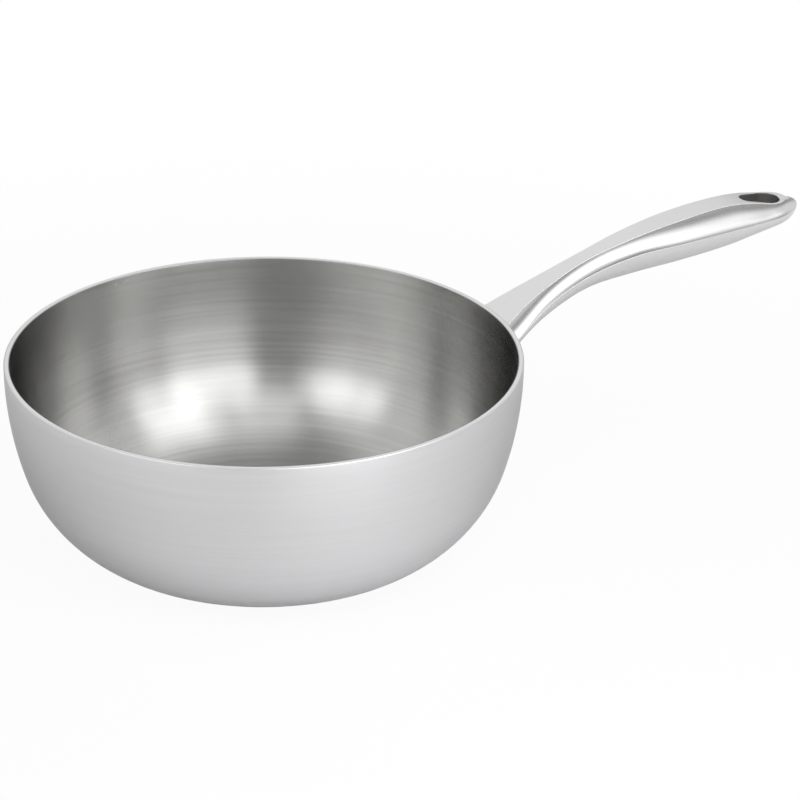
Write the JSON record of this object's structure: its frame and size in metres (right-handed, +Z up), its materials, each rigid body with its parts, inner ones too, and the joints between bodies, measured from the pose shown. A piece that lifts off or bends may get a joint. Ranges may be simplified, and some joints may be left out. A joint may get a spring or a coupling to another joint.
{
  "type": "saute pan",
  "caption": "Rounded saute pan: a deep clad steel bowl with a plain cut rim and flat base, and a long welded cast handle with a hanging hole.",
  "frame": {"origin": "centre of the flat base's underside, on the bowl's axis", "axes": "+Z up along the bowl's axis, +X from the axis out along the handle, +Y across the handle"},
  "size_m": [0.4052, 0.24, 0.1249],
  "materials": {
    "outer_steel": "satin, fine grain round the wall",
    "core_aluminium": "plain cut edge",
    "inner_steel": "circular brushed",
    "handle_steel": "satin top and belly, polished flanks",
    "weld_steel": "as welded"
  },
  "bodies": {
    "root": {"outer_ply": "outer_steel", "aluminium_core": "core_aluminium", "inner_ply": "inner_steel", "handle": "handle_steel", "weld_nugget_1": "weld_steel", "weld_nugget_2": "weld_steel", "weld_nugget_3": "weld_steel", "weld_nugget_4": "weld_steel"}
  },
  "joints": []
}
